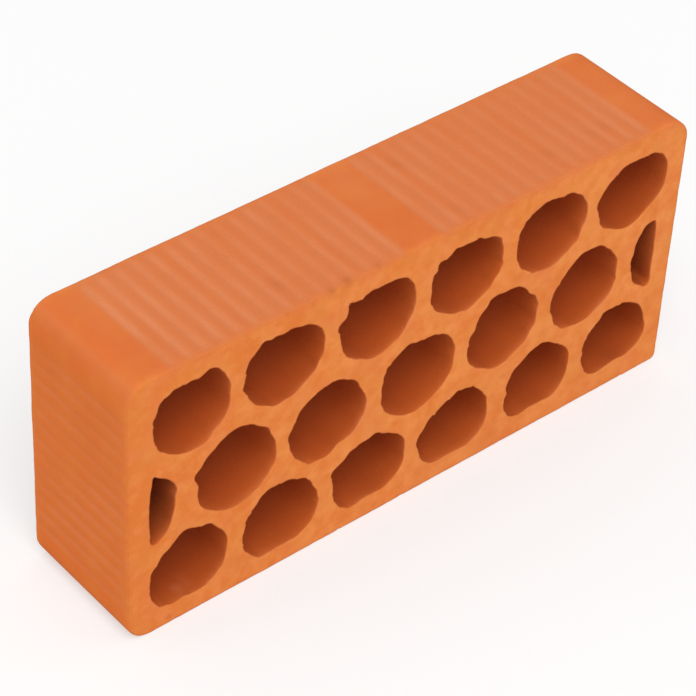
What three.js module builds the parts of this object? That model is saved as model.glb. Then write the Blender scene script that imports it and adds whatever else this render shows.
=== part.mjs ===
// A perforated clay brick: one extruded and wire-cut body, standing on one of its long narrow sides.
// Millimetres, +Z up. X runs along the brick and Y along the extrusion, so the two cut faces, with the
// holes, look to -Y and +Y. The origin is under the middle of the brick, on the floor.
import * as THREE from "three";

// The body
const length = 240;
const height = 110; // the long side of a header face, upright as the brick stands
const depth = 52; // along the extrusion, between the two cuts
const edgeRadius = 9; // of the long edges that run with the extrusion
const lowRightEdgeRadius = 2.5; // that edge left the die sharper than the others

// Walls and webs of the honeycomb
const endWall = 8.4; // from the last hole of an outer row to the header face
const halfHoleWall = 9.6; // from a half hole to the header face
const sideWall = 8.1; // from an outer hole to the long side
const rowWeb = 6.5; // between neighbours in a row
const slantWeb = 7.6; // between a middle hole and an outer one, square to their slanting sides

// Holes: rounded hexagons in three rows, every second row half a pitch on
const holesInOuterRow = 6;
const slant = Math.PI / 6; // slope of the slanting sides against the rows
const middleHoleHeight = 32.9;
const holeRadius = 11; // in the corners of the whole holes
const outerHoleFlat = 15; // width of the flat that an outer hole turns to the long side
const outerFlatRadius = 6; // at the two ends of that flat
const halfHoleDepth = 9.4; // from its flat, square to the header face
const halfHoleHeight = 30;
const halfHoleRadius = 12; // so the half hole is nearly a D
const halfHoleTipRadius = 1.5;

// Shallow scored waves that run with the extrusion, with plain bands left between them
const wavePitch = 6.5;
const waveWidth = 5.2;
const longSideWaveDepth = 0.3;
const headerWaveDepth = 0.2;
const centreBand = 14.4; // plain band across the middle of the long sides
const longSidePlainEnd = 16; // at least this much is plain at each end of a long side
const headerPlainEnd = 13; // and this much of a header face
const waveSteps = 6; // straight steps across one wave

const arcSteps = 3; // three.js cuts an arc into twice as many
const colour = 0xe07b3a;
const roughness = 0.92;

// A closed convex loop of straight sides, counter-clockwise, with an arc in every corner. Where a
// corner has waves, they are cut into the side that follows it.
function drawLoop(path, corners) {
  const sideAfter = (i) => {
    const from = corners[i].at;
    const to = corners[(i + 1) % corners.length].at;
    return { from, to, angle: Math.atan2(to.y - from.y, to.x - from.x) };
  };
  corners.forEach(({ at, radius, waves }, i) => {
    const before = sideAfter((i + corners.length - 1) % corners.length);
    const after = sideAfter(i);
    const turn = (after.angle - before.angle + 2 * Math.PI) % (2 * Math.PI);
    const reach = radius / Math.cos(turn / 2); // from the arc's centre to the sharp corner
    const outward = before.angle - Math.PI / 2 + turn / 2;
    const x = at.x - reach * Math.cos(outward);
    const y = at.y - reach * Math.sin(outward);
    const start = before.angle - Math.PI / 2;
    path.absarc(x, y, radius, start, start + turn, false);
    if (waves) drawWaves(path, after, waves);
  });
  path.closePath();
  return path;
}

// Cosine dips into a side, one at each centre, which is a distance from the middle of the side.
function drawWaves(path, side, { centres, waveDepth }) {
  const middle = side.from.clone().lerp(side.to, 0.5);
  const along = new THREE.Vector2(Math.cos(side.angle), Math.sin(side.angle));
  const inward = new THREE.Vector2(-along.y, along.x);
  for (const centre of centres) {
    for (let step = 0; step <= waveSteps; step++) {
      const part = step / waveSteps;
      const dip = (waveDepth * (1 - Math.cos(2 * Math.PI * part))) / 2;
      const point = middle
        .clone()
        .addScaledVector(along, centre + (part - 0.5) * waveWidth)
        .addScaledVector(inward, dip);
      path.lineTo(point.x, point.y);
    }
  }
}

// Centres of waves at the pitch from the first one outwards, kept inside the limit, and mirrored.
function waveCentres(first, limit) {
  const count = Math.floor((limit - waveWidth / 2 - first) / wavePitch) + 1;
  const right = Array.from({ length: count }, (_, k) => first + k * wavePitch);
  const left = right.filter((centre) => centre > 0).map((centre) => -centre);
  return [...left.reverse(), ...right];
}

const corner = (x, y, radius, waves) => ({ at: new THREE.Vector2(x, y), radius, waves });
const rise = Math.tan(slant);

// The section is drawn about the middle of the brick, with its y upwards.
const right = length / 2;
const top = height / 2;
const longWaves = {
  centres: waveCentres((centreBand + waveWidth) / 2, right - longSidePlainEnd),
  waveDepth: longSideWaveDepth,
};
const headerWaves = { centres: waveCentres(0, top - headerPlainEnd), waveDepth: headerWaveDepth };
const section = drawLoop(new THREE.Shape(), [
  corner(-right, -top, edgeRadius, longWaves),
  corner(right, -top, lowRightEdgeRadius, headerWaves),
  corner(right, top, edgeRadius, longWaves),
  corner(-right, top, edgeRadius, headerWaves),
]);

const pitch = (length - 2 * endWall + rowWeb) / holesInOuterRow;
const halfWidth = (pitch - rowWeb) / 2;

// The middle row: whole hexagons, a peak up and a peak down.
const middlePeak = middleHoleHeight / 2 + holeRadius * (1 / Math.cos(slant) - 1);
const middleShoulder = middlePeak - halfWidth * rise;
function middleHole(x) {
  return [
    corner(x, -middlePeak, holeRadius),
    corner(x + halfWidth, -middleShoulder, holeRadius),
    corner(x + halfWidth, middleShoulder, holeRadius),
    corner(x, middlePeak, holeRadius),
    corner(x - halfWidth, middleShoulder, holeRadius),
    corner(x - halfWidth, -middleShoulder, holeRadius),
  ];
}

// The upper row: the peak points to the middle row and the far side is cut flat along the wall.
const upperPeak = middlePeak - (pitch / 2) * rise + slantWeb / Math.cos(slant);
const upperFlat = top - sideWall;
function upperHole(x) {
  const halfFlat = outerHoleFlat / 2;
  const nearShoulder = upperPeak + halfWidth * rise;
  const farShoulder = upperFlat - (halfWidth - halfFlat) * rise;
  return [
    corner(x, upperPeak, holeRadius),
    corner(x + halfWidth, nearShoulder, holeRadius),
    corner(x + halfWidth, farShoulder, holeRadius),
    corner(x + halfFlat, upperFlat, outerFlatRadius),
    corner(x - halfFlat, upperFlat, outerFlatRadius),
    corner(x - halfWidth, farShoulder, holeRadius),
    corner(x - halfWidth, nearShoulder, holeRadius),
  ];
}

// The right end of the middle row: half a hole, flat along the header wall.
const halfHolePeak = halfHoleHeight / 2 + halfHoleTipRadius * (rise + 1 / Math.cos(slant) - 1);
function rightHalfHole() {
  const flat = right - halfHoleWall;
  const shoulder = halfHolePeak - halfHoleDepth * rise;
  return [
    corner(flat, -halfHolePeak, halfHoleTipRadius),
    corner(flat, halfHolePeak, halfHoleTipRadius),
    corner(flat - halfHoleDepth, shoulder, halfHoleRadius),
    corner(flat - halfHoleDepth, -shoulder, halfHoleRadius),
  ];
}

// The same loop turned half a turn about the middle of the brick, which keeps it counter-clockwise.
const turned = (corners) => corners.map(({ at, radius }) => corner(-at.x, -at.y, radius));

for (let k = 0; k < holesInOuterRow; k++) {
  const x = (k + 0.5 - holesInOuterRow / 2) * pitch;
  section.holes.push(drawLoop(new THREE.Path(), upperHole(x)));
  section.holes.push(drawLoop(new THREE.Path(), turned(upperHole(x))));
}
for (let k = 1; k < holesInOuterRow; k++) {
  const x = (k - holesInOuterRow / 2) * pitch;
  section.holes.push(drawLoop(new THREE.Path(), middleHole(x)));
}
section.holes.push(drawLoop(new THREE.Path(), rightHalfHole()));
section.holes.push(drawLoop(new THREE.Path(), turned(rightHalfHole())));

const body = new THREE.ExtrudeGeometry(section, {
  depth,
  curveSegments: arcSteps,
  bevelEnabled: false,
});

const brick = new THREE.Mesh(body, new THREE.MeshStandardMaterial({ color: colour, roughness, metalness: 0 }));
brick.name = "brick";
brick.rotation.x = Math.PI / 2; // the section stands up and the extrusion runs towards -Y
brick.position.set(0, depth / 2, height / 2);

const perforatedBrick = new THREE.Group();
perforatedBrick.name = "perforated_brick";
perforatedBrick.add(brick);

export default perforatedBrick;
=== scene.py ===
"""A perforated clay brick standing on one of its long sides, on a plain pale floor.

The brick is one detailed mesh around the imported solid: the same section, with torn rims, wire-cut ends,
scored waves and drag lines in the geometry, and a fired clay material. Lengths are millimetres in the
frame of the solid until the mesh is made: X along the brick, Y along the extrusion, Z up.
"""

import itertools
from functools import cached_property

import bpy
import numpy as np
from mathutils import Matrix, Vector
from mathutils.geometry import delaunay_2d_cdt


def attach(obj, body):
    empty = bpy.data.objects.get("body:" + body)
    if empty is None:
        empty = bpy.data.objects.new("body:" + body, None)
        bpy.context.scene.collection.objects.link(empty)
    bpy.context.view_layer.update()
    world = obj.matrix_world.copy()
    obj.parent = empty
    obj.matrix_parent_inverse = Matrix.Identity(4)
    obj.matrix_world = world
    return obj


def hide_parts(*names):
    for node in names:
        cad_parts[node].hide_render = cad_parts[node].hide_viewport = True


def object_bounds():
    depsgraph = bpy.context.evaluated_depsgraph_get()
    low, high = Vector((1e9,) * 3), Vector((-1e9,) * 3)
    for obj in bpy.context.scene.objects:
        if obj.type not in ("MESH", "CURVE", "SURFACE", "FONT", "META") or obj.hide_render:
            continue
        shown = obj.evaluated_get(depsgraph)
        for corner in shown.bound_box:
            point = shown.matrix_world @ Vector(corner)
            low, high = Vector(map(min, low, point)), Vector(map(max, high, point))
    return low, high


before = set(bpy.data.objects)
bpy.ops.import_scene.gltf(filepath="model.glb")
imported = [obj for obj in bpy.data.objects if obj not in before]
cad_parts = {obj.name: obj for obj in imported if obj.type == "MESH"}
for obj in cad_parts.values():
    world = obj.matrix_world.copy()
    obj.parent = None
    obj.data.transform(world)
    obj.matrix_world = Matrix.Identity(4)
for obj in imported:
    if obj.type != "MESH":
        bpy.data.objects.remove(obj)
cad_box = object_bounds()

MILLIMETRE = 0.001  # in metres
LOW = np.array(cad_box[0]) / MILLIMETRE
HIGH = np.array(cad_box[1]) / MILLIMETRE
THICKNESS = HIGH[1] - LOW[1]  # between the two cut faces

# Attributes of the mesh's points: how much of a point is a wave (above 1 where the waves are strongly
# coloured), part of the scored bands, a rim (worn, with a painted highlight on the lower right), wall of a
# hole, cut face, mouth of a hole or a rounded long edge (painted shade). The last one, shade, runs from -1
# (dark) to 1 (pale): stains, and painted shade and painted light in the holes, dents and on the edges.
NAMES = ("groove", "scored", "rim", "hole", "cut", "mouth", "corner", "shade")

# ---------------------------------------------------------------- noise

# The whole-number hash that the noise takes its values from
AXIS_PRIMES = np.array([73856093, 19349663, 83492791])
SEED_STEP = 2654435761
FIRST_MIX, SECOND_MIX = 2246822519, 3266489917
WORD, HALF_WORD = 0xFFFFFFFF, 0xFFFF  # the lowest 32 and 16 bits

LAYER_STEP = 31  # between the seeds of two layers of noise


def noise(points, size, seed):
    """Smooth noise from -1 to 1 at points (n, k); size is its grain along each axis."""
    at = np.asarray(points, float) / size
    cell = np.floor(at).astype(np.int64)
    part = at - cell
    part = part * part * (3 - 2 * part)
    axes = at.shape[1]
    total = np.zeros(len(at))
    for corner in itertools.product((0, 1), repeat=axes):
        word = ((cell + corner) * AXIS_PRIMES[:axes]).sum(1) + seed * SEED_STEP
        word = (word ^ (word >> 15)) * FIRST_MIX & WORD
        word = (word ^ (word >> 13)) * SECOND_MIX & WORD
        word = word ^ (word >> 16)
        weight = np.prod(np.where(corner, part, 1 - part), axis=1)
        total += weight * (2 * (word & HALF_WORD) / HALF_WORD - 1)
    return total


def rough(points, size, seed, layers=3):
    """Noise with finer layers, each half the size and height of the one before."""
    size = np.asarray(size, float)
    return sum(noise(points, size / 2**k, seed + LAYER_STEP * k) / 2**k for k in range(layers))


def bell(away, spread):
    """1 at the middle, falling smoothly to next to nothing at twice the spread away from it."""
    return np.exp(-((away / spread) ** 2))


# ---------------------------------------------------------------- outlines of the section

FACE_TOLERANCE = 0.01  # how far from its plane a point of the cut face may lie
CURVE_PARTS = 8  # straight parts of the smooth curve between two corners
SKIN_STEP, HOLE_STEP = 0.75, 1.0  # between two points along the skin and along a hole


def cut_loops(node):
    """The closed loops around the front cut face of a node, as (x, z), with the clay on their left.

    They come from the widest to the narrowest, and those of one width from left to right.
    """
    mesh = node.data
    points = np.zeros(len(mesh.vertices) * 3)
    mesh.vertices.foreach_get("co", points)
    points = points.reshape(-1, 3) / MILLIMETRE
    mesh.calc_loop_triangles()
    corners = np.zeros(len(mesh.loop_triangles) * 3, int)
    mesh.loop_triangles.foreach_get("vertices", corners)
    corners = corners.reshape(-1, 3)
    flat, same = np.unique(points[:, [0, 2]].round(3), axis=0, return_inverse=True)
    same = same.ravel()
    on_face = points[:, 1] < LOW[1] + FACE_TOLERANCE
    triangles = same[corners[on_face[corners].all(1)]]
    edges = {tuple(edge) for edge in triangles[:, [0, 1, 1, 2, 2, 0]].reshape(-1, 2)}
    following = {a: b for a, b in edges if (b, a) not in edges}
    loops = []
    while following:
        start, at = following.popitem()
        loop = [start]
        while at != start:
            loop.append(at)
            at = following.pop(at)
        loops.append(flat[loop])
    return sorted(loops, key=lambda loop: (-np.ptp(loop[:, 0]).round(), *loop.mean(0).round(1)))


def resample(loop, step):
    """Points about a step apart on the smooth closed curve through the corners of a loop."""
    before, after, beyond = np.roll(loop, 1, 0), np.roll(loop, -1, 0), np.roll(loop, -2, 0)

    def gap(a, b):
        return np.sqrt(np.linalg.norm(b - a, axis=1))[:, None]

    last, this, coming = gap(before, loop), gap(loop, after), gap(after, beyond)
    here = (after - loop) / this
    start = this * ((loop - before) / last - (after - before) / (last + this) + here)
    end = this * (here - (beyond - loop) / (this + coming) + (beyond - after) / coming)
    pieces = []
    for t in np.arange(CURVE_PARTS) / CURVE_PARTS:
        pieces.append(
            (2 * t**3 - 3 * t**2 + 1) * loop
            + (t**3 - 2 * t**2 + t) * start
            + (3 * t**2 - 2 * t**3) * after
            + (t**3 - t**2) * end
        )
    dense = np.stack(pieces, 1).reshape(-1, 2)
    closed = np.vstack([dense, dense[:1]])
    run = np.r_[0, np.cumsum(np.linalg.norm(np.diff(closed, axis=0), axis=1))]
    count = round(run[-1] / step)
    at = np.arange(count) * run[-1] / count
    return np.stack([np.interp(at, run, closed[:, k]) for k in (0, 1)], 1)


def into_clay(loop):
    """Unit directions from a loop into the clay, which is on its left."""
    along = np.roll(loop, -1, 0) - np.roll(loop, 1, 0)
    along /= np.linalg.norm(along, axis=1)[:, None]
    return np.stack([-along[:, 1], along[:, 0]], 1)


outline, *holes = cut_loops(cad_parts["brick"])
skin_loop = np.clip(resample(outline, SKIN_STEP), LOW[[0, 2]], HIGH[[0, 2]])
hole_loops = [resample(hole, HOLE_STEP) for hole in holes]

# ---------------------------------------------------------------- single marks

# Where the front rim of a hole is out of shape: for each hole, by the rounded x and z of its middle, the
# direction from there in degrees, the spread in degrees and the clay lost (below zero: clay in the hole)
BENDS = {
    (-96, 87): [(53, 14, 1.6), (151, 10, -1.3), (190, 36, -1.7), (295, 10, 1.1)],
    (-57, 87): [(84, 16, 0.6), (138, 46, 1.6), (182, 9, 1.4), (270, 9, -0.8), (310, 38, -1.7),
                (343, 8, -0.9)],
    (-19, 87): [(48, 8, 0.7), (163, 11, 1.7), (335, 14, -0.9)],
    (19, 87): [(60, 10, -1.2), (120, 7, -0.8), (137, 9, 0.5), (264, 9, -0.7), (330, 9, -0.8)],
    (57, 87): [(7, 12, 0.8), (100, 14, 1.0), (132, 8, 0.7), (235, 14, 0.7), (343, 10, -1.1)],
    (96, 87): [(72, 12, -0.5), (130, 18, -1.2), (174, 12, 1.5), (312, 32, -1.5)],
    (-77, 55): [(22, 10, -0.8), (100, 34, 0.9), (165, 10, 1.8), (240, 24, 0.9), (300, 24, 0.9)],
    (-38, 55): [(25, 18, -1.6), (97, 8, -0.7), (157, 9, -0.8), (180, 9, 1.6), (240, 17, 1.5),
                (291, 14, -2.0), (328, 14, -0.9)],
    (0, 55): [(5, 12, 0.7), (80, 15, -2.0), (96, 7, -0.9), (168, 7, -1.2), (245, 26, 1.0), (300, 14, 0.6)],
    (38, 55): [(37, 9, -0.8), (65, 14, 1.1), (110, 14, 2.0), (153, 15, -1.7), (330, 10, -0.9)],
    (77, 55): [(30, 10, -0.9), (66, 11, 1.2), (144, 26, -2.1), (203, 10, -0.8), (240, 12, 0.8)],
    (-96, 23): [(56, 12, 1.8), (96, 16, 2.0), (150, 9, -0.9), (228, 7, 0.8), (264, 7, -0.7),
                (325, 28, -1.1)],
    (-57, 23): [(20, 12, -1.2), (75, 14, 0.5), (117, 16, 1.9), (240, 10, 0.7)],
    (-19, 23): [(95, 12, -0.8), (122, 9, 0.7), (160, 12, 2.1), (268, 14, -0.7), (300, 34, -0.9)],
    (19, 23): [(18, 22, -1.4), (96, 8, -0.9), (122, 36, -1.6), (160, 10, -0.6), (183, 10, 1.4),
               (235, 14, 0.9)],
    (57, 23): [(85, 34, 0.9), (156, 12, -0.9), (180, 20, -1.6), (212, 10, -1.1), (264, 9, -0.6),
               (290, 42, -1.4), (308, 12, 0.9)],
    (96, 23): [(15, 24, -1.4), (117, 12, 1.7), (206, 9, -0.6), (282, 32, -2.4)],
    (-106, 55): [(37, 16, 0.8), (72, 12, -0.5), (94, 17, -2.0), (180, 90, 0.9), (300, 20, -0.8)],
    (106, 55): [(0, 40, 0.4), (76, 8, -0.7), (91, 8, 0.9), (187, 44, 1.5), (257, 14, 0.7), (285, 10, 0.7)],
}
BEND_REACH = 6  # how far into a hole a bend goes
MIDDLE_TOLERANCE = 2  # between a hole's middle and its rounded values

# Small torn or filled places on the front rims: x, z, reach along the rim, clay lost (below zero: clay in
# the hole), and how far it goes in
RIM_MARKS = [
    # square tear at the top left of the second upper hole
    (-66.6, 102.2, 1.6, 1.8, 2.0),
    (-60.4, 103.0, 2.2, -0.7, 1.4),
    # notch and step at the third upper hole
    (-30.8, 99.6, 1.5, 2.6, 2.2),
    (-34.0, 95.8, 1.4, -0.9, 1.5),
    (-26.7, 101.9, 1.3, -0.9, 1.2),
    (-22.0, 101.9, 1.3, 0.7, 1.2),
    # peaks and corners of other holes
    (-88.0, 100.0, 1.6, 0.8, 1.8),
    (-103.0, 98.6, 1.6, 0.7, 1.4),
    (-69.7, 70.8, 1.4, 0.8, 1.4),
    (-87.7, 37.1, 1.5, 0.8, 1.8),
    (33.5, 96.5, 1.3, 0.6, 1.2),
]
UNMARKED_REACH, LEAST_REACH = 0.5, 0.4  # how far in the rim's marks go, away from these and at least

# Dents in the front cut face: x, z, radius along x and z, depth
DENTS = [
    # short crack above the third lower hole
    (-12.3, 39.7, 0.5, 2.2, 0.5),
    (-103.2, 2.4, 1.2, 0.9, 0.5),
    (41.3, 31.6, 0.9, 1.5, 0.35),
    (108.4, 72.9, 1.6, 1.2, 0.25),
    (-111.0, 35.2, 1.4, 1.0, 0.2),
    (-36.9, 109.6, 1.2, 0.8, 0.35),
    (-31.9, 111.6, 0.9, 1.0, 0.4),
    (-57.4, 109.7, 1.4, 0.7, 0.25),
]

# Stains and faded places, with painted shade in the dents and a painted highlight in a hole: x, y, z,
# radius, and a shade from -1 (dark) to 1 (pale)
STAINS = [
    # painted shade in the dents and the crack of the front cut face
    (-103.2, -26, 2.4, 1.0, -0.35),
    (41.3, -26, 31.6, 1.1, -0.2),
    (-12.3, -26, 39.2, 1.0, -0.22),
    (-57.4, -26, 109.4, 1.1, -0.18),
    (108.4, -26, 72.9, 1.3, -0.15),
    # ends of waves, dragged by the wire
    (-39.3, -25.4, 109.8, 1.7, -0.22),
    (-32.2, -24.6, 109.8, 1.7, -0.27),
    (-19.3, -24.8, 109.8, 1.5, -0.15),
    # torn places between the waves
    (-51.4, -13.5, 109.8, 2.2, -0.12),
    (20, 14, 109.8, 2.2, -0.1),
    (20, -18, 109.8, 1.6, -0.08),
    (65, -13, 109.8, 2.2, -0.1),
    (84.5, -15, 109.8, 2.2, -0.12),
    (91, -13.5, 109.8, 2.0, -0.1),
    # paler at the back of the first waves, in the plain middle band and at the plain right end
    (-100, 15, 109.8, 12, 0.12),
    (0, 4, 109.8, 7, 0.1),
    (0, 14, 109.8, 7, 0.13),
    (0, 24, 109.8, 7, 0.13),
    (107, -14, 109.8, 9, 0.1),
    (107, 3, 109.8, 9, 0.1),
    (107, 20, 109.8, 9, 0.07),
    # crumbs in the first lower hole, painted pale as a painted highlight
    (-96.5, -22, 9.8, 2.0, 0.4),
    (-92.3, -20, 8.2, 1.6, 0.3),
]

# ---------------------------------------------------------------- relief of the cut faces

FRONT_SEED, BACK_SEED = 11, 37
CUT_DEPTH = 0.07  # of the whole face, on the average
HOLLOW_DEPTH, HOLLOW_SIZE = 0.06, 16
WIRE_LINE_DEPTH, WIRE_LINE_SIZE = 0.035, (4.5, 9)
PIT_DEPTH, PIT_SIZE, PIT_LEVEL = 0.9, 3.1, 0.72  # pits form where the noise is above the level
DENT_REACH = 1.5  # how far in the walls follow the relief of a cut face


def dents(points, seed, front):
    """How far a cut face lies below its plane at points (x, z)."""
    hollows = HOLLOW_DEPTH * noise(points, HOLLOW_SIZE, seed)
    wire_lines = WIRE_LINE_DEPTH * rough(points, WIRE_LINE_SIZE, seed + 1)
    pits = PIT_DEPTH * np.maximum(noise(points, PIT_SIZE, seed + 3) - PIT_LEVEL, 0)
    depth = CUT_DEPTH + hollows + wire_lines + pits
    if front:
        for x, z, wide, high, deep in DENTS:
            depth += deep * np.exp(-(((points - (x, z)) / (wide, high)) ** 2).sum(1))
    return np.maximum(depth, 0)


# ---------------------------------------------------------------- relief of the holes' walls

# Rows of points on the walls: depths below the nearer cut face, and all rows' depths below the front one
DEPTHS = np.array([0, 0.3, 0.8, 1.5, 2.6, 4.5, 8, 13, 19])
ROWS = np.r_[DEPTHS, THICKNESS / 2, (THICKNESS - DEPTHS)[::-1]]

WIRE_WAY = np.array([0.77, -0.64])  # in which the wire crossed the cut faces, as (x, z)
WIRE_PUSH = 0.5  # clay it wore off a rim straight ahead, and pushed over one straight behind
RIM_SWELL = 0.2  # clay that it pushed over every rim
RAGGED = ((0.14, 2.6), (0.1, 1.2))  # heights and sizes of the rims' unevenness
TEAR_DEPTH, TEAR_SIZE, TEAR_LEVEL, TEAR_POWER = 1.4, 3.4, 0.4, 1.3  # above the level of the noise
BURR_HEIGHT, BURR_SIZE, BURR_LEVEL, BURR_WAY = 0.9, 2.2, 0.2, 0.3  # the same, but not where the wire left
RIM_REACH, TEAR_REACH, WIRE_REACH = 0.7, 0.9, 0.5  # how far in the loss goes: always, by tear, by wire
BACK_RIM = 50  # added to the seed of a hole at its back rim
HALF_HOLE_WIDTH = 15  # a half hole is narrower than this, a whole one wider
HALF_HOLE_SHARE = 0.4  # the half holes kept cleaner rims

WARP_HEIGHT, WARP_SIZE = 0.3, (9, 60, 9)  # slow bulges of a hole's wall
DRAG_HEIGHT, DRAG_SIZE = 0.05, (1.8, 45, 1.8)  # lines along the extrusion
CRUMB_HEIGHT, CRUMB_SIZE = 0.04, (1.5, 2.2, 1.5)
LEAST_WEAR_AND_HIGHLIGHT = 0.15  # least of a rim's wear and painted highlight, where the wire came to the hole
WORN_RIM_WIDTH, MOUTH_DEPTH = 1.1, 5  # how far the colour of a rim and the mouth's lighter painted shade go in
HALF_HOLE_PAINTED_SHADE, HALF_HOLE_PAINTED_SHADE_DEPTH = -0.45, 4  # painted shade inside the half holes, growing deeper in
DEEP_PAINTED_LIGHT, DEEP_START, DEEP_RUN = 0.07, 12, 10  # painted light: the whole holes are painted paler deep inside


def rim_marks(points):
    """Clay lost at each point of a rim by the single marks, and how deep each goes in."""
    lost = np.zeros(len(points))
    reach = np.full(len(points), UNMARKED_REACH)
    for x, z, width, amount, deep in RIM_MARKS:
        near = np.exp(-(np.linalg.norm(points - (x, z), axis=1) ** 2) / width**2)
        lost += amount * near
        reach += (deep - UNMARKED_REACH) * near
    return lost, np.maximum(reach, LEAST_REACH)


def bends(loop):
    """Clay lost along a hole's rim where it is out of shape."""
    middle = (loop.min(0) + loop.max(0)) / 2
    direction = np.degrees(np.arctan2(*(loop - middle).T[::-1]))
    lost = np.zeros(len(loop))
    for centre, places in BENDS.items():
        if np.linalg.norm(middle - centre) < MIDDLE_TOLERANCE:
            for towards, spread, clay in places:
                lost += clay * bell((direction - towards + 180) % 360 - 180, spread)
    return lost


def is_half(loop):
    """Whether a loop is one of the two half holes."""
    return np.ptp(loop[:, 0]) < HALF_HOLE_WIDTH


def rim_loss(loop, inward, seed):
    """Clay lost along the rim of a hole, and how far in each loss goes.

    The cutting wire pushed clay over the rim where it came to the hole, and wore the rim where it left.
    """
    way = inward @ WIRE_WAY
    lost = WIRE_PUSH * way - RIM_SWELL
    for k, (height, size) in enumerate(RAGGED):
        lost += height * noise(loop, size, seed + k)
    tear = np.maximum(noise(loop, TEAR_SIZE, seed + 2) - TEAR_LEVEL, 0) ** TEAR_POWER * TEAR_DEPTH
    burr = np.maximum(noise(loop, BURR_SIZE, seed + 3) - BURR_LEVEL, 0)
    burr = burr * np.maximum(BURR_WAY - way, 0) * BURR_HEIGHT
    share = HALF_HOLE_SHARE if is_half(loop) else 1
    reach = RIM_REACH + TEAR_REACH * tear + WIRE_REACH * np.maximum(way, 0)
    return share * (lost + tear - burr), reach


def spread_in(lost, below, reach):
    """Losses along a loop carried down a wall, less and less with the depth below a cut face."""
    return (lost[:, None] * np.exp(-below / np.reshape(reach, (-1, 1)))).ravel()


def hole_relief(loop, inward, solid, nearest, seed):
    """Clay lost on the wall of a hole, and the attributes that it sets.

    solid holds the wall's points and nearest their distance to the nearer cut face.
    """
    lost = WARP_HEIGHT * noise(solid, WARP_SIZE, seed + 5)
    lost += DRAG_HEIGHT * rough(solid, DRAG_SIZE, seed + 6)
    lost += CRUMB_HEIGHT * rough(solid, CRUMB_SIZE, seed + 7)
    lost += spread_in(bends(loop), ROWS, BEND_REACH)
    marks, marks_reach = rim_marks(loop)
    lost += spread_in(marks, ROWS, marks_reach)
    for below, added in ((ROWS, 0), (THICKNESS - ROWS, BACK_RIM)):
        edge, reach = rim_loss(loop, inward, seed + added)
        lost += spread_in(edge, below, reach)
    # pale rims where the wire left the hole, on the lower right: partly wear, partly a painted highlight
    wear_and_highlight = np.clip(0.5 + 0.5 * inward @ WIRE_WAY, LEAST_WEAR_AND_HIGHLIGHT, 1)
    # painted shade in the half holes; painted light deep in the whole holes
    if is_half(loop):
        shade = HALF_HOLE_PAINTED_SHADE * (1 - np.exp(-nearest / HALF_HOLE_PAINTED_SHADE_DEPTH))
    else:
        shade = DEEP_PAINTED_LIGHT * np.clip((nearest - DEEP_START) / DEEP_RUN, 0, 1)
    return lost, {
        "hole": 1.0,
        "rim": np.repeat(wear_and_highlight, len(ROWS)) * np.exp(-nearest / WORN_RIM_WIDTH),
        "mouth": np.exp(-nearest / MOUTH_DEPTH),
        "shade": shade,
    }


# ---------------------------------------------------------------- relief of the outer skin

CORNER_ZONE = 9.2  # nearer than this to two sides, a point is on a rounded long edge
WAVE_GAIN = 3  # a wave counts as scored from a third of its depth
LAND_POINTS = range(-2, 3)  # loop points that reach over the plain land between two waves
HEADER_STRENGTH, HEADER_SCORED = 0.42, 0.1  # colour of the waves and of the bands on the header faces
LEFT_STRENGTH, LEFT_RUN = 1.5, 25  # more colour at the left end of the long sides

SKIN_DEPTH = 0.03  # of the whole skin, on the average
SKIN_DRAG_HEIGHT, SKIN_DRAG_SIZE = 0.03, (2.2, 40, 2.2)  # lines along the extrusion
# fine tears, where their noise is above the level
TORN_SIZE, TORN_LEVEL, TORN_IN_WAVES, TORN_ELSEWHERE = (1.3, 2.4, 1.3), -0.15, 0.06, 0.02
BACK_RIGHT_RUN = 60  # x from which the back counts in full as the back right
SMEAR_WIDTH, PATCH_SMEAR, PATCH_SIZE, BACK_SMEAR = 2.2, 0.35, (46, 30, 46), 0.45
BACK_FADE = 0.4  # loss of the waves' colour to the back right
CUT_BLEED, CUT_BLEED_CHANGE, CUT_BLEED_SIZE = 2.4, 0.8, (9, 9, 9)  # the cut face's colour on the skin
EDGE_ROUND, EDGE_REACH = 0.3, 0.5  # rounding of the cut edges
EDGE_UNEVEN = ((0.08, 7), (0.04, 2.4))  # heights and sizes of its unevenness
LEAST_LOSS = 0.02  # keeps the skin inside the box

# Painted shade on the rounded long edges, with a painted highlight along them, by the turn in degrees:
# 0 on a header face, 90 on a long side
PAINTED_SHADE_TURN, PAINTED_SHADE_SPREAD = 40, 20
PAINTED_HIGHLIGHT_TURN, PAINTED_HIGHLIGHT_SPREAD, PAINTED_HIGHLIGHT_SHADE = 52, 9, 0.09
PAINTED_DARK_TURN, PAINTED_DARK_SPREAD, PAINTED_DARK_SHADE = 22, 14, 0.06
EDGE_PAINTED_LIGHT_CHANGE, EDGE_PAINTED_LIGHT_SIZE = 0.4, (40, 9, 40)
# painted shade on the skin along the cut edges, and how far it reaches
CUT_EDGE_PAINTED_SHADE, CUT_EDGE_WIDTH = 0.03, 0.8


def combine(values, shifts, how):
    """Values along a closed loop, each combined with its neighbours at these shifts."""
    return how([np.roll(values, k) for k in shifts], axis=0)


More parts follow.
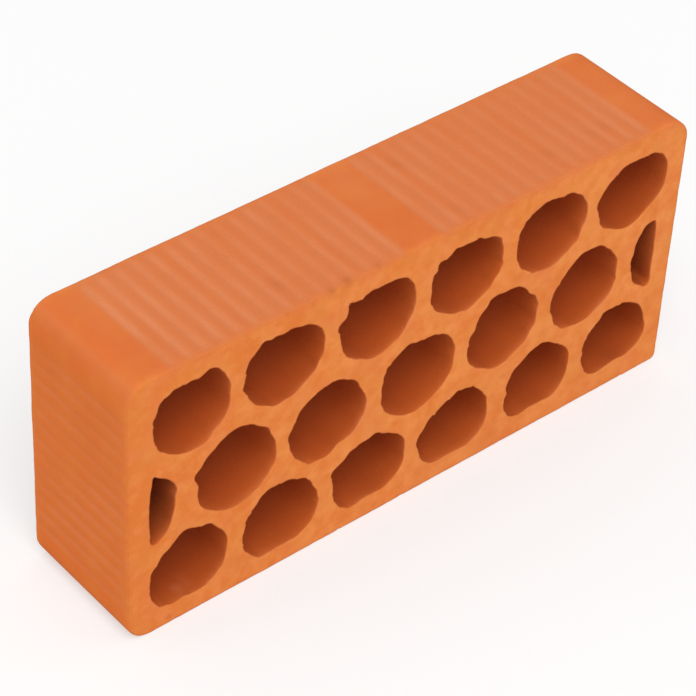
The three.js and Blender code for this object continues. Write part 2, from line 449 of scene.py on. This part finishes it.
def waves(points):
    """Along the skin's loop: depth of the scored waves, how strongly they are coloured, and their zones.

    They are strongest at the left end of the long sides, and weak on the header faces.
    """
    gap = np.minimum(points - LOW[[0, 2]], HIGH[[0, 2]] - points)
    depth = np.where((gap < CORNER_ZONE).all(1), 0, gap.min(1))
    header = gap[:, 0] < gap[:, 1]
    part = depth / np.where(header, depth[header].max(), depth[~header].max())
    scored = combine(np.minimum(WAVE_GAIN * part, 1), LAND_POINTS, np.max)
    scored = combine(scored, LAND_POINTS, np.min)
    scored = combine(scored, (-1, 0, 1), np.mean)
    left = 1 + LEFT_STRENGTH * np.exp((LOW[0] - points[:, 0]) / LEFT_RUN)
    strength = np.where(header, HEADER_STRENGTH, left)
    return depth, part * strength, scored * np.where(header, HEADER_SCORED, 1)


def edge_painted_light(turn, solid, nearest, seed):
    """Painted light of the rounded long edges: painted shade, a painted highlight along them, and painted
    shade at the cuts.
    """
    shade = PAINTED_HIGHLIGHT_SHADE * bell(turn - PAINTED_HIGHLIGHT_TURN, PAINTED_HIGHLIGHT_SPREAD)
    shade = shade - PAINTED_DARK_SHADE * bell(turn - PAINTED_DARK_TURN, PAINTED_DARK_SPREAD)
    shade *= 1 + EDGE_PAINTED_LIGHT_CHANGE * noise(solid, EDGE_PAINTED_LIGHT_SIZE, seed + 12)
    return shade - CUT_EDGE_PAINTED_SHADE * np.exp(-nearest / CUT_EDGE_WIDTH)


def skin_relief(loop, inward, solid, nearest, seed):
    """Clay lost on the outer skin, and the attributes that it sets, as for a hole."""
    rows = len(ROWS)
    depth, groove, scored = (np.repeat(value, rows) for value in waves(loop))
    lost = SKIN_DEPTH + SKIN_DRAG_HEIGHT * rough(solid, SKIN_DRAG_SIZE, seed + 6)
    torn = np.maximum(rough(solid, TORN_SIZE, seed + 7) - TORN_LEVEL, 0)
    lost += TORN_IN_WAVES * groove * torn + TORN_ELSEWHERE * torn
    # the waves are smeared shut at the cuts, here and there between them, and to the back right
    back_right = np.clip(solid[:, 0] / BACK_RIGHT_RUN, 0, 1) * (solid[:, 1] - LOW[1]) / THICKNESS
    patches = PATCH_SMEAR * noise(solid, PATCH_SIZE, seed + 8) ** 2
    smear = bell(nearest, SMEAR_WIDTH) + patches + BACK_SMEAR * back_right
    lost -= depth * np.clip(smear, 0, 1)
    groove = groove * (1 - BACK_FADE * back_right)
    bleed = CUT_BLEED + CUT_BLEED_CHANGE * noise(solid, CUT_BLEED_SIZE, seed + 11)
    near_cut = bell(nearest, bleed)
    turn = np.repeat(np.degrees(np.arctan2(*np.abs(inward).T[::-1])), rows)
    edge = EDGE_ROUND
    for k, (height, size) in enumerate(EDGE_UNEVEN):
        edge = edge + height * noise(loop, size, seed + 9 + k)
    at_cuts = np.exp(-ROWS / EDGE_REACH) + np.exp((ROWS - THICKNESS) / EDGE_REACH)
    lost += np.outer(edge, at_cuts).ravel()
    return np.maximum(lost, LEAST_LOSS - depth), {
        "groove": groove * (1 - near_cut),
        "scored": scored * (1 - near_cut / 2),
        "cut": near_cut / 2,
        "corner": bell(turn - PAINTED_SHADE_TURN, PAINTED_SHADE_SPREAD),
        "shade": edge_painted_light(turn, solid, nearest, seed),
    }


# ---------------------------------------------------------------- walls along the extrusion

# Each noise of a wall has its own seed, a few after the wall's
SKIN_SEED, HOLE_SEED, HOLE_SEED_STEP = 100, 200, 10


def wall(loop, relief, seed):
    """A wall: its points (loop point, row, 3), and a value there for each attribute."""
    count, rows = len(loop), len(ROWS)
    inward = into_clay(loop)
    flat = np.repeat(loop, rows, 0)
    y = np.tile(LOW[1] + ROWS, count)
    solid = np.stack([flat[:, 0], y, flat[:, 1]], 1)
    nearest = np.tile(np.minimum(ROWS, THICKNESS - ROWS), count)
    lost, given = relief(loop, inward, solid, nearest, seed)
    moved = flat + np.repeat(inward, rows, 0) * lost[:, None]
    y += dents(moved, FRONT_SEED, True) * np.tile(np.exp(-ROWS / DENT_REACH), count)
    y -= dents(moved, BACK_SEED, False) * np.tile(np.exp((ROWS - THICKNESS) / DENT_REACH), count)
    made = np.stack([moved[:, 0], y, moved[:, 1]], 1).reshape(count, rows, 3)
    return made, {name: np.broadcast_to(given.get(name, 0.0), count * rows) for name in NAMES}


walls = [wall(skin_loop, skin_relief, SKIN_SEED)]
for k, hole_loop in enumerate(hole_loops):
    walls.append(wall(hole_loop, hole_relief, HOLE_SEED + HOLE_SEED_STEP * k))

# ---------------------------------------------------------------- cut faces, as triangles

FACE_STEP = 1.25  # between two grid points of a cut face
ROW_SHARE = 0.866  # height of an equilateral triangle, as a share of its side
GRID_SHIFT = 0.2  # at most, of a grid point off its place
RING_GAP = 0.5  # between a rim and the ring of points around it
RING_CLEARANCE, GRID_CLEARANCE = 0.35, 1.1  # at least, from a ring or grid point to any rim
NEAR_RIM, RIM_SHARE = 0.7, 0.6  # how far the colour of the holes' rims reaches, and how strong it is
NEAR_EDGE = 1.2  # how far the colour of the skin reaches
BLOCK = 400  # points, at least, whose distances are worked out at once
MERGE = 1e-6  # points nearer to each other are one to the triangulation
WHOLE_HULL = 0  # the triangulation's kind of result: triangles up to the convex hull


def inside(loop, points):
    """Which points lie inside a closed loop."""
    result = np.zeros(len(points), bool)
    for (x0, z0), (x1, z1) in zip(loop, np.roll(loop, -1, 0)):
        if z0 != z1:
            crosses = (points[:, 1] < z0) != (points[:, 1] < z1)
            result ^= crosses & (points[:, 0] < x0 + (points[:, 1] - z0) * (x1 - x0) / (z1 - z0))
    return result


def on_clay(rims, points):
    """Which points lie inside the first loop and outside all the others."""
    result = inside(rims[0], points)
    for rim in rims[1:]:
        near = np.flatnonzero(((points > rim.min(0)) & (points < rim.max(0))).all(1))
        result[near[inside(rim, points[near])]] = False
    return result


def distance(points, targets):
    """Distance from each point to the nearest target."""
    blocks = np.array_split(points, max(1, len(points) // BLOCK))
    return np.concatenate(
        [np.sqrt(((block[:, None] - targets[None]) ** 2).sum(2).min(1)) for block in blocks]
    )


def face_points(rims, border, seed):
    """Points of a cut face between its rims: a ring around each, and a shaken grid."""
    rng = np.random.default_rng(seed)
    lines = np.arange(LOW[2], HIGH[2], FACE_STEP * ROW_SHARE)
    x, z = np.meshgrid(np.arange(LOW[0], HIGH[0], FACE_STEP), lines)
    x = x + (np.arange(len(lines)) % 2)[:, None] * FACE_STEP / 2
    grid = np.stack([x.ravel(), z.ravel()], 1) + rng.uniform(-GRID_SHIFT, GRID_SHIFT, (x.size, 2))
    ring = np.vstack([rim + into_clay(rim) * RING_GAP for rim in rims])
    kept = []
    for points, clearance in ((ring, RING_CLEARANCE), (grid, GRID_CLEARANCE)):
        points = points[on_clay(rims, points)]
        kept.append(points[distance(points, border) > clearance])
    return np.vstack(kept)


def face(row, seed):
    """A cut face between the rims at an end row: its own points, its triangles and two attributes.

    The triangles count the points of all rims first, in the order of the walls, then its own.
    """
    rims = [made[:, row][:, [0, 2]] for made, _ in walls]
    border = np.vstack(rims)
    starts = np.cumsum([0] + [len(rim) for rim in rims])
    own = face_points(rims, border, seed)
    edges = []
    for start, rim in zip(starts, rims):
        edges += [(start + k, start + (k + 1) % len(rim)) for k in range(len(rim))]
    flat = np.vstack([border, own])
    found = delaunay_2d_cdt([Vector(point) for point in flat], edges, [], WHOLE_HULL, MERGE, True)
    found_triangles, found_sources = found[2], found[3]
    source = np.array([ids[0] if ids else -1 for ids in found_sources])
    triangles = source[np.array(found_triangles)]
    triangles = triangles[(triangles >= 0).all(1)]
    triangles = triangles[on_clay(rims, flat[triangles].mean(1))]
    a, b, c = (flat[triangles[:, k]] for k in range(3))
    turned = (b - a)[:, 0] * (c - a)[:, 1] < (b - a)[:, 1] * (c - a)[:, 0]
    triangles[turned] = triangles[turned][:, ::-1]
    near_rim = np.exp(-distance(own, border[starts[1] :]) / NEAR_RIM)
    near_edge = np.exp(-distance(own, border[: starts[1]]) / NEAR_EDGE)
    return own, triangles, {"rim": RIM_SHARE * near_rim, "cut": 1 - near_edge / 3}


# ---------------------------------------------------------------- the mesh

# Tone of the cut faces: paler away from the left end and towards the floor, and paler to the right, partly
# fired colour and partly painted light
TONE, LEFT_TONE, LEFT_TONE_RUN, RIGHT_TONE_AND_PAINTED_LIGHT, LOW_TONE = 0.25, 0.3, 30, 0.12, 0.08
END_RUN = 5  # how far the colour of the header faces reaches along the brick

points, faces = [], []
values = {name: [] for name in NAMES}


def add_points(added, given):
    """Append points and their attributes to the mesh, and return their indices."""
    first = sum(len(part) for part in points)
    points.append(added)
    for name in NAMES:
        values[name].append(np.broadcast_to(given.get(name, 0.0), len(added)))
    return first + np.arange(len(added))


wall_indices = []
for made, given in walls:
    index = add_points(made.reshape(-1, 3), given).reshape(made.shape[:2])
    after = np.roll(index, -1, 0)
    quads = np.stack([index[:, :-1], index[:, 1:], after[:, 1:], after[:, :-1]], 2)
    faces += quads.reshape(-1, 4).tolist()
    wall_indices.append(index)
for row, seed, front in ((0, FRONT_SEED, True), (-1, BACK_SEED, False)):
    own, triangles, given = face(row, seed)
    depth = dents(own, seed, front)
    y = LOW[1] + depth if front else HIGH[1] - depth
    own_index = add_points(np.stack([own[:, 0], y, own[:, 1]], 1), given)
    border = np.concatenate([index[:, row] for index in wall_indices])
    triangles = np.r_[border, own_index][triangles]
    faces += (triangles if front else triangles[:, ::-1]).tolist()
points = np.vstack(points)
values = {name: np.concatenate(parts) for name, parts in values.items()}

for x, y, z, radius, amount in STAINS:
    values["shade"] += amount * np.exp(-((points - (x, y, z)) ** 2).sum(1) / radius**2)
from_left, from_right = points[:, 0] - LOW[0], HIGH[0] - points[:, 0]
values["tone_and_painted_light"] = TONE - LEFT_TONE * np.exp(-from_left / LEFT_TONE_RUN)
values["tone_and_painted_light"] += RIGHT_TONE_AND_PAINTED_LIGHT * points[:, 0] / HIGH[0] + LOW_TONE * (1 - 2 * points[:, 2] / HIGH[2])
values["end"] = np.exp(-from_left / END_RUN) + np.exp(-from_right / END_RUN)

mesh = bpy.data.meshes.new("brick_clay")
mesh.from_pydata((points * MILLIMETRE).tolist(), [], faces)
for name, value in values.items():
    layer = mesh.attributes.new(name, "FLOAT", "POINT")
    layer.data.foreach_set("value", value.astype(np.float32))
mesh.shade_smooth()
mesh.validate()
clay = bpy.data.objects.new("brick_clay", mesh)
bpy.context.scene.collection.objects.link(clay)
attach(clay, "root")
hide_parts("brick")

# ---------------------------------------------------------------- material nodes


def colour(red, green, blue):
    """A linear colour from eight-bit sRGB values, by the standard's formula."""
    parts = np.array([red, green, blue]) / 255
    return (*np.where(parts > 0.04045, ((parts + 0.055) / 1.055) ** 2.4, parts / 12.92), 1)


def grey(level):
    """A linear grey."""
    return (level, level, level, 1)


class Graph:
    """Short calls for the nodes of a material or a world. A value is a number or a node's socket."""

    def __init__(self, tree):
        self.nodes = tree.nodes
        self.links = tree.links

    @cached_property
    def place(self):
        return self.nodes.new("ShaderNodeTexCoord").outputs["Object"]

    def join(self, value, socket):
        if isinstance(value, bpy.types.NodeSocket):
            self.links.new(value, socket)
        else:
            socket.default_value = value

    def attribute(self, name):
        node = self.nodes.new("ShaderNodeAttribute")
        node.attribute_name = name
        return node.outputs["Fac"]

    def grain(self, size, detail=2.0, roughness=0.5):
        """Noise from 0 to 1; size is its grain in millimetres, one for all axes or one for each."""
        mapping = self.nodes.new("ShaderNodeMapping")
        self.join(self.place, mapping.inputs["Vector"])
        sizes = np.broadcast_to(size, 3)
        mapping.inputs["Scale"].default_value = [1 / (s * MILLIMETRE) for s in sizes.tolist()]
        node = self.nodes.new("ShaderNodeTexNoise")
        self.join(mapping.outputs[0], node.inputs["Vector"])
        node.inputs["Scale"].default_value = 1
        node.inputs["Detail"].default_value = detail
        node.inputs["Roughness"].default_value = roughness
        return node.outputs["Fac"]

    def fade(self, value, low, high, start=0.0, end=1.0):
        """start to end for a value from low to high, and no further."""
        node = self.nodes.new("ShaderNodeMapRange")
        for socket, given in zip(node.inputs, (value, low, high, start, end)):
            self.join(given, socket)
        return node.outputs[0]

    def patches(self, size, detail, levels, results):
        """Noise that fades from the first result to the second between two of its levels."""
        return self.fade(self.grain(size, detail), *levels, *results)

    def chain(self, operation, first, *others):
        """One arithmetic operation with one value after the other."""
        result = first
        for other in others:
            node = self.nodes.new("ShaderNodeMath")
            node.operation = operation
            self.join(result, node.inputs[0])
            self.join(other, node.inputs[1])
            result = node.outputs[0]
        return result

    def add(self, *given):
        return self.chain("ADD", *given)

    def less(self, *given):
        return self.chain("SUBTRACT", *given)

    def times(self, *given):
        return self.chain("MULTIPLY", *given)

    def largest(self, *given):
        return self.chain("MAXIMUM", *given)

    def mix(self, share, first, second):
        """The first colour, with a share of the second."""
        node = self.nodes.new("ShaderNodeMix")
        node.data_type = "RGBA"
        first_socket, second_socket, result = node.inputs[6], node.inputs[7], node.outputs[2]
        self.join(share, node.inputs["Factor"])
        self.join(first, first_socket)
        self.join(second, second_socket)
        return result

    def shows_background(self):
        """1 for the rays that see the plain background, 0 for those that only carry light."""
        rays = self.nodes.new("ShaderNodeLightPath").outputs
        return self.largest(rays["Is Camera Ray"], rays["Is Glossy Ray"], rays["Is Transmission Ray"])


def new_material(name, specular):
    """A material, its graph and the inputs of its shader."""
    material = bpy.data.materials.new(name)
    material.use_nodes = True
    inputs = material.node_tree.nodes["Principled BSDF"].inputs
    inputs["Specular IOR Level"].default_value = specular
    return material, Graph(material.node_tree), inputs


# ---------------------------------------------------------------- fired clay

SKIN = colour(220, 114, 57)
END_SKIN = colour(223, 114, 47)
CUT_FACE = colour(232, 127, 57)
CUT_LIGHT = colour(243, 148, 78)
# the holes' own redder clay, made darker inside as painted shade, and less so at the mouth
HOLE_WALL_PAINTED_SHADE = colour(177, 77, 29)
HOLE_MOUTH_PAINTED_SHADE = colour(204, 99, 40)
RIDGE = colour(216, 123, 73)
GROOVE = colour(224, 135, 88)
PALE = colour(232, 150, 100)
DEEP = colour(192, 86, 38)
OCHRE = colour(230, 142, 66)
PINKISH = colour(237, 131, 78)
# painted shade on the rounded long edges
DULL_PAINTED_SHADE = colour(190, 112, 80)
DARK = colour(104, 48, 22)

CLAY_SPECULAR = 0.15
BUMP_STRENGTH = 0.8

# Noise in the colour: grain in millimetres, detail, the two levels between which it fades, and the
# results there
SPOTS = (4, 3, (0.3, 0.7), (-0.22, 0.67))
LIGHT_CLOUDS = (11, 2, (0.3, 0.7), (-0.2, 0.3))
PINK_CLOUDS = (13, 2, (0.5, 0.75), (0, 0.6))
DEEP_CLOUDS = (34, 2, (0.45, 0.75), (0, 0.1))
OCHRE_CLOUDS = (12, 3, (0.45, 0.75), (0, 0.5))
WEAR = (14, 3, (0.35, 0.7), (0, 1))
WAVE_WEAR = ((14, 24, 14), 2, (0.35, 0.65), (0.25, 0.7))
SPECKS = (0.9, 1, (0.7, 0.78), (0, 0.25))
CRUMBS = (1.3, 1.5, (0.72, 0.8), (0, 0.15))
ROUGHNESS = (3, 3, (0.3, 0.7), (0.84, 0.97))

OCHRE_LOST_ON_SKIN = 0.6  # share of the ochre clouds that the skin lacks
RIDGE_LEAST, RIDGE_MOST = 0.75, 0.95  # share of the ridges' colour in the scored bands, by wear
# shares of the rims' pale, which is wear and a painted highlight, and of the painted shade on the long
# edges
PALE_ON_RIMS, PAINTED_SHADE_ON_CORNERS = 0.3, 0.22

# The finest relief: grain in millimetres along each axis, and height
GRIT_SIZE, GRIT_HEIGHT = 0.55, 0.2
DRAG_LINE_SIZE, DRAG_LINE_HEIGHT = (0.9, 14, 0.9), 0.1
WIRE_MARK_SIZE, WIRE_MARK_HEIGHT = (1.4, 30, 26), 0.08
WAVE_TEAR_SIZE, WAVE_TEAR_HEIGHT = (1.5, 2.4, 1.5), 0.2


def clay_colour(graph):
    """The base colour, from the attributes of the mesh and from noise."""
    patches, fade, mix = graph.patches, graph.fade, graph.mix
    add, less, times = graph.add, graph.less, graph.times
    groove, scored, rim, hole, cut, mouth, corner, shade = (graph.attribute(name) for name in NAMES)

    # the three kinds of surface: cut faces, skin and walls of the holes
    light = add(graph.attribute("tone_and_painted_light"), patches(*SPOTS), patches(*LIGHT_CLOUDS))
    face_colour = mix(patches(*PINK_CLOUDS), mix(light, CUT_FACE, CUT_LIGHT), PINKISH)
    skin_colour = mix(graph.attribute("end"), SKIN, END_SKIN)
    # the walls of the holes carry painted shade, lighter towards the mouth
    hole_colour = mix(mouth, HOLE_WALL_PAINTED_SHADE, HOLE_MOUTH_PAINTED_SHADE)
    body = mix(cut, mix(hole, skin_colour, hole_colour), face_colour)

    # clouds that the fire left on what lay open to it
    outside = less(1.0, hole)
    body = mix(times(patches(*DEEP_CLOUDS), outside), body, DEEP)
    fired = less(outside, times(outside, less(1.0, cut), OCHRE_LOST_ON_SKIN))
    body = mix(times(patches(*OCHRE_CLOUDS), fired), body, OCHRE)

    # scored bands, waves and rims, worn in patches, with a painted highlight on the lower right rims and
    # painted shade on the long edges
    wear = patches(*WEAR)
    body = mix(times(scored, fade(wear, 0, 1, RIDGE_LEAST, RIDGE_MOST)), body, RIDGE)
    body = mix(times(groove, patches(*WAVE_WEAR)), body, GROOVE)
    body = mix(times(rim, wear, PALE_ON_RIMS), body, PALE)
    body = mix(times(corner, PAINTED_SHADE_ON_CORNERS), body, DULL_PAINTED_SHADE)

    # dark specks, pale crumbs, and the shade that the mesh carries: stains, painted shade and painted
    # light
    body = mix(patches(*SPECKS), body, DEEP)
    body = mix(patches(*CRUMBS), body, PALE)
    body = mix(fade(shade, 0, 1), body, PALE)
    return mix(fade(shade, 0, -1), body, DARK)


def clay_relief(graph):
    """The finest relief, as heights in millimetres: grit, drag lines, wire marks and torn waves."""
    grain, times = graph.grain, graph.times
    groove, hole, cut = (graph.attribute(name) for name in ("groove", "hole", "cut"))
    skin = graph.less(1.0, graph.largest(cut, hole))
    return graph.add(
        times(grain(GRIT_SIZE, detail=3, roughness=0.6), GRIT_HEIGHT),
        times(grain(DRAG_LINE_SIZE), skin, DRAG_LINE_HEIGHT),
        times(grain(WIRE_MARK_SIZE), cut, WIRE_MARK_HEIGHT),
        times(grain(WAVE_TEAR_SIZE), groove, WAVE_TEAR_HEIGHT),
    )


clay_material, graph, shader = new_material("fired_clay", specular=CLAY_SPECULAR)
graph.join(clay_colour(graph), shader["Base Color"])
graph.join(graph.patches(*ROUGHNESS), shader["Roughness"])
bump = graph.nodes.new("ShaderNodeBump")
bump.inputs["Strength"].default_value = BUMP_STRENGTH
bump.inputs["Distance"].default_value = MILLIMETRE
graph.join(clay_relief(graph), bump.inputs["Height"])
graph.join(bump.outputs[0], shader["Normal"])
mesh.materials.append(clay_material)

# ---------------------------------------------------------------- floor, in metres

FLOOR_REACH = 4.0
LIT_FLOOR = grey(0.75)  # the floor that lights the brick
SEEN_FLOOR = grey(0.5)  # the floor that is seen, with a white glow, so that it stays pale in shadow
FLOOR_GLOW = 0.49

scene = bpy.context.scene
scene.view_settings.view_transform = "Standard"

floor_mesh = bpy.data.meshes.new("floor")
square = [(x * FLOOR_REACH, y * FLOOR_REACH, 0) for x, y in ((-1, -1), (1, -1), (1, 1), (-1, 1))]
floor_mesh.from_pydata(square, [], [(0, 1, 2, 3)])
floor = bpy.data.objects.new("floor", floor_mesh)
scene.collection.objects.link(floor)
floor_material, graph, shader = new_material("floor", specular=0.0)
seen = graph.shows_background()
graph.join(graph.mix(seen, LIT_FLOOR, SEEN_FLOOR), shader["Base Color"])
graph.join(graph.times(seen, FLOOR_GLOW), shader["Emission Strength"])
shader["Emission Color"].default_value = grey(1)
shader["Roughness"].default_value = 1.0
floor_mesh.materials.append(floor_material)

# ---------------------------------------------------------------- light and camera, in metres

WORLD_LIGHT = 0.62  # strength of the white world as a light; where it is seen, it is 1
LAMP_TARGET = Vector((0, 0, 0.05))
AZIMUTH, ELEVATION, ROLL = (np.radians(angle) for angle in (-41.79, 40.61, 3.32))
CAMERA_PLACE = (-0.4953, -0.5449, 0.6791)
LENS = 146.8
CLIP_START, CLIP_END = 0.05, 30

world = bpy.data.worlds.new("studio")
scene.world = world
world.use_nodes = True
graph = Graph(world.node_tree)
background = world.node_tree.nodes["Background"].inputs
background["Color"].default_value = grey(1)
strength = graph.fade(graph.shows_background(), 0, 1, WORLD_LIGHT, 1.0)
graph.join(strength, background["Strength"])


def lamp(name, place, size, power):
    """A round soft lamp that looks at the brick."""
    light = bpy.data.lights.new(name, "AREA")
    light.shape = "DISK"
    light.size = size
    light.energy = power
    made = bpy.data.objects.new(name, light)
    scene.collection.objects.link(made)
    made.location = place
    made.rotation_euler = (LAMP_TARGET - Vector(place)).to_track_quat("-Z", "Y").to_euler()


lamp("front", (-1.0, -1.9, 3.0), size=2.4, power=68)
lamp("left", (-3.2, 1.2, 1.0), size=2.2, power=12)

# the camera's own axes: back from the brick, level with the floor, and right and up after the roll
flat_reach = np.cos(ELEVATION)
back = Vector((np.sin(AZIMUTH) * flat_reach, -np.cos(AZIMUTH) * flat_reach, np.sin(ELEVATION)))
level = Vector((0, 0, 1)).cross(back).normalized()
right = level * np.cos(ROLL) + back.cross(level) * np.sin(ROLL)
turn = Matrix((right, back.cross(right), back)).transposed().to_4x4()
camera = bpy.data.objects.new("camera", bpy.data.cameras.new("camera"))
camera.data.lens = LENS
camera.data.clip_start = CLIP_START
camera.data.clip_end = CLIP_END
camera.matrix_world = Matrix.Translation(CAMERA_PLACE) @ turn
scene.collection.objects.link(camera)
scene.camera = camera
